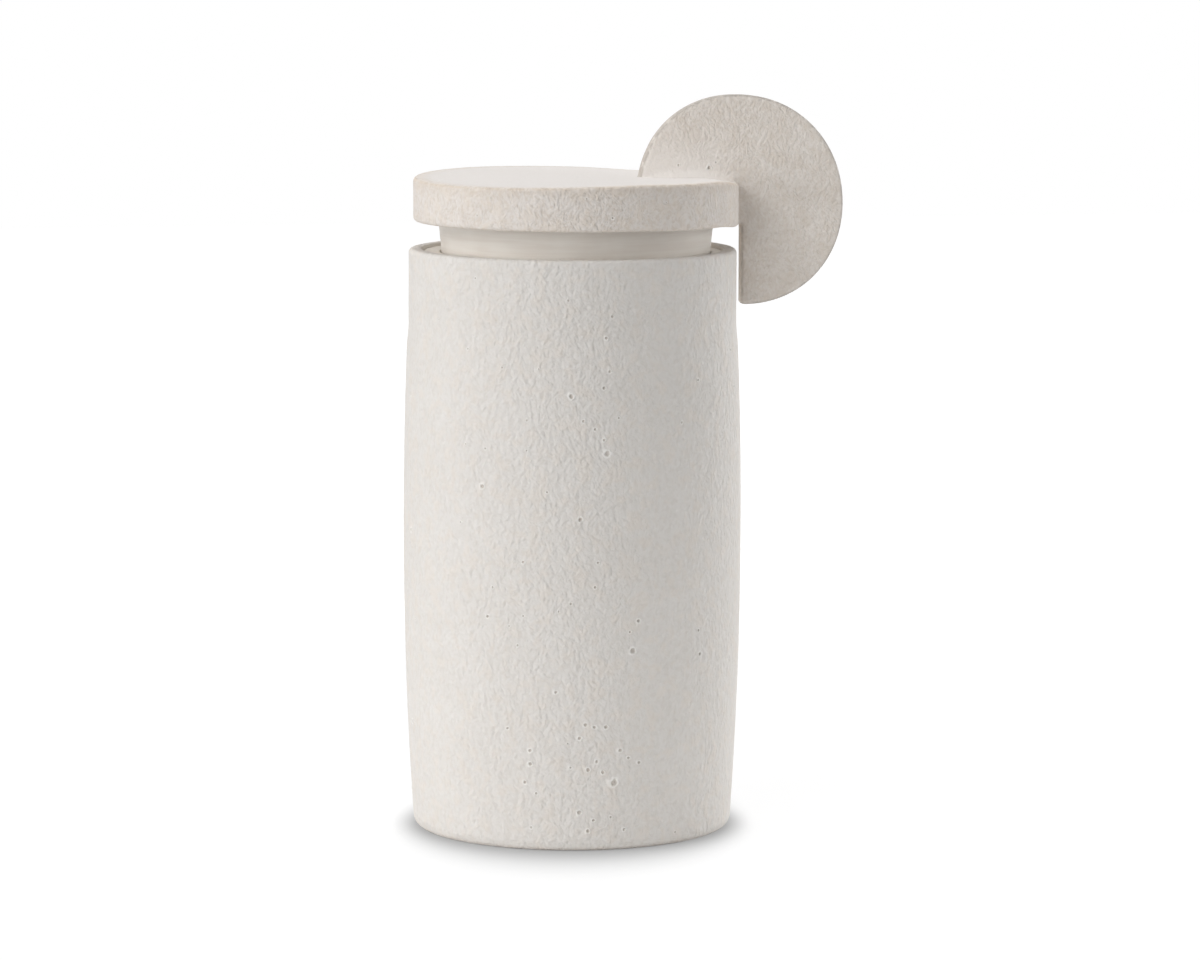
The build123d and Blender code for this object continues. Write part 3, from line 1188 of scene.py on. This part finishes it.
def table_surface(tree, place):
    """Pale table with a white card under the jar. It looks white but for the soft shadow round the foot."""
    away = steer("LENGTH", place)
    glow = soft_step(soft_shadow(place), 0.0, 1.0, foot_glow, edge_glow)
    glow = reckon("MAXIMUM", glow, soft_step(away, *white_reach))
    glow = put(tree, "ShaderNodeEmission", {"Strength": glow}).outputs[0]
    grey = put(tree, "ShaderNodeBsdfDiffuse", {"Color": contact_grey}).outputs[0]
    seen = put(tree, "ShaderNodeAddShader", {0: glow, 1: grey}).outputs[0]
    card = soft_step(away, *card_reach, card_white, table_grey)
    plain = put(tree, "ShaderNodeBsdfDiffuse", {"Color": card}).outputs[0]
    return put(tree, "ShaderNodeMixShader", {0: seen_straight(tree), 1: plain, 2: seen}).outputs[0]


table_paint, paint_tree, table_place = new_finish("table paint")
put(paint_tree, "ShaderNodeOutputMaterial", {"Surface": table_surface(paint_tree, table_place)})
table_mesh.materials.append(table_paint)

room_light = 0.06
room_seen = 1.0
room = bpy.data.worlds.new("room")
bpy.context.scene.world = room
room.use_nodes = True
air = room.node_tree
air.nodes.clear()
strength = blend(seen_straight(air), room_light, room_seen)
sky = put(air, "ShaderNodeBackground", {"Color": (1, 1, 1, 1), "Strength": strength}).outputs[0]
put(air, "ShaderNodeOutputWorld", {"Surface": sky})

jar_middle = Vector((0, 0, 0.13))
lamp_distance = 2.0


def hang_lamp(name, turn, climb, width, share):
    """Round softbox at degrees right of the front and above the table, by its light on a white face."""
    angle = math.radians(front_turn + turn)
    lift = math.radians(climb)
    way = Vector((math.cos(angle) * math.cos(lift), math.sin(angle) * math.cos(lift), math.sin(lift)))
    light = bpy.data.lights.new(name, "AREA")
    light.shape = "DISK"
    light.size = width
    light.energy = share * (math.pi * lamp_distance) ** 2
    lamp = bpy.data.objects.new(name, light)
    lamp.location = jar_middle + way * lamp_distance
    lamp.rotation_euler = way.to_track_quat("Z", "Y").to_euler()
    lamp.visible_camera = False
    bpy.context.collection.objects.link(lamp)


# Name, degrees right of the front, degrees up, width, and share of its light on a white face
lamps = [("softbox_top", 0, 88, 1.0, 0.21), ("softbox_back_top", 180, 68, 0.9, 0.232),
         ("softbox_high_left", -62, 45, 1.2, 0.27), ("softbox_front_left", -40, 28, 0.8, 0.073),
         ("softbox_low_front_left", -40, 5, 0.6, 0.097), ("softbox_front", -20, 20, 0.8, 0.158),
         ("softbox_low_front", -20, 8, 0.8, 0.037), ("lamp_low_left", -62, 3, 0.5, 0.065),
         ("softbox_back_left", -110, 12, 1.2, 0.207), ("softbox_right", 95, 12, 1.2, 0.329),
         ("softbox_back_right", 130, 12, 1.2, 0.302)]
for lamp_sizes in lamps:
    hang_lamp(*lamp_sizes)

bpy.context.scene.view_settings.view_transform = "Standard"

camera_place = (-0.3937, -1.9025, 0.3726)
camera_heading = front_turn + 90
camera_dip = 7.098
camera_lean = 0.136
lens = bpy.data.cameras.new("camera")
lens.lens = 156
lens.sensor_width = 36
lens.clip_end = 20
camera = bpy.data.objects.new("camera", lens)
heading = Matrix.Rotation(math.radians(camera_heading), 4, "Z")
tilt = Matrix.Rotation(math.radians(90 - camera_dip), 4, "X")
lean = Matrix.Rotation(math.radians(camera_lean), 4, "Z")
camera.matrix_world = Matrix.Translation(camera_place) @ heading @ tilt @ lean
bpy.context.collection.objects.link(camera)
bpy.context.scene.camera = camera
